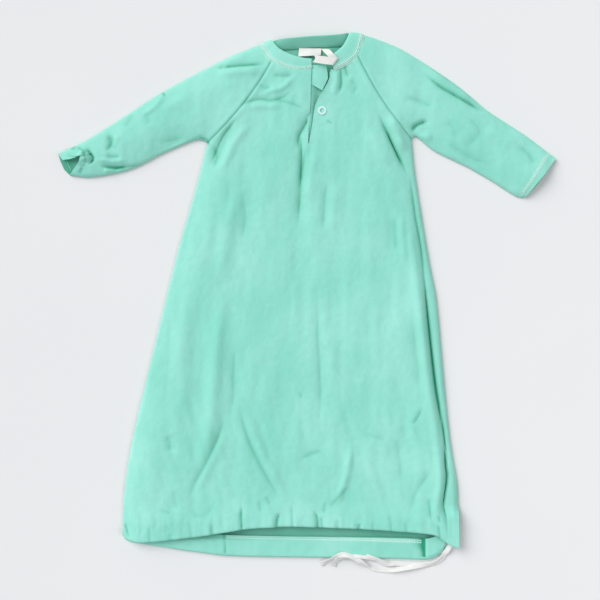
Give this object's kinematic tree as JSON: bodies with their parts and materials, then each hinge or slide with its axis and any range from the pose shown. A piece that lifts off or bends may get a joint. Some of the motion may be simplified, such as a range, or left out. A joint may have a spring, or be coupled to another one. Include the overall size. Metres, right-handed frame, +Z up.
{
  "type": "infant drawstring gown",
  "caption": "Long-sleeved infant gown laid flat: raglan sleeves, banded neck, short snap placket, and a drawstring in an open hem.",
  "frame": {"origin": "on the table, below the middle of the laid gown's length and width, tails left out", "axes": "+X to the right as seen from above (the wearer's left), +Y from the hem to the neck, +Z up off the table"},
  "size_m": [0.5485, 0.5955, 0.0132],
  "materials": {
    "jersey": "mint green single-knit cotton jersey, matt, slightly fuzzy",
    "seam": "overlocked seam allowance in the same jersey",
    "stitch": "pale mint sewing thread, two-needle coverstitch",
    "tape": "white cotton twill tape",
    "label": "blank white satin label tape",
    "snap_enamel": "pale enamel on a brass ring, satin gloss",
    "snap_metal": "plain nickel-plated stud and socket"
  },
  "bodies": {
    "torso": {"back_panel": "jersey", "front_panel": "jersey", "placket_under": "jersey", "neckband": "jersey", "hem_casing": "jersey", "side_seam_left": "seam", "side_seam_right": "seam", "front_raglan_seam_left": "seam", "front_raglan_seam_right": "seam", "back_raglan_seam_left": "seam", "back_raglan_seam_right": "seam", "neckband_stitch_left": "stitch", "neckband_stitch_right": "stitch", "hem_stitch_back": "stitch", "hem_stitch_front": "stitch", "casing_join_seam": "stitch", "placket_bar_tack": "stitch", "snap_stud": "snap_metal", "snap_back_ring": "snap_metal", "drawstring_loop": "tape"},
    "placket_flap": {"placket_over": "jersey", "snap_cap_ring": "snap_enamel", "snap_socket": "snap_metal"},
    "sleeve_left": {"sleeve_left": "jersey", "cuff_stitch_left": "stitch", "underarm_seam_left": "seam"},
    "sleeve_right": {"sleeve_right": "jersey", "cuff_stitch_right": "stitch", "underarm_seam_right": "seam"},
    "size_label": {"size_label": "label"},
    "care_label": {"care_label": "label"},
    "drawstring": {"drawstring_end_back": "tape", "drawstring_end_front": "tape", "tail_long": "tape", "tail_short": "tape"}
  },
  "joints": [
    {"name": "placket_open", "type": "hinge", "parent": "torso", "child": "placket_flap", "pos_m": [0.02465, 0.1665, 0.009], "axis": [0.2969, 0.9549, 0], "range_deg": [0, 100]},
    {"name": "sleeve_left_fold", "type": "hinge", "parent": "torso", "child": "sleeve_left", "pos_m": [-0.04312, 0.26097, 0.0092], "axis": [0.2483, 0.9687, 0], "range_deg": [0, 65]},
    {"name": "sleeve_right_fold", "type": "hinge", "parent": "torso", "child": "sleeve_right", "pos_m": [0.06335, 0.26687, 0.0092], "axis": [0.4867, -0.8736, 0], "range_deg": [0, 75]},
    {"name": "size_label_lift", "type": "hinge", "parent": "torso", "child": "size_label", "pos_m": [0.00335, 0.2709, 0.0018], "axis": [-1, 0, 0], "range_deg": [0, 90]},
    {"name": "care_label_lift", "type": "hinge", "parent": "torso", "child": "care_label", "pos_m": [0.01985, 0.2709, 0.0018], "axis": [-1, 0, 0], "range_deg": [0, 60]},
    {"name": "drawstring_pull", "type": "slide", "parent": "torso", "child": "drawstring", "axis": [1, 0, 0], "range_m": [0, 0.045]}
  ]
}
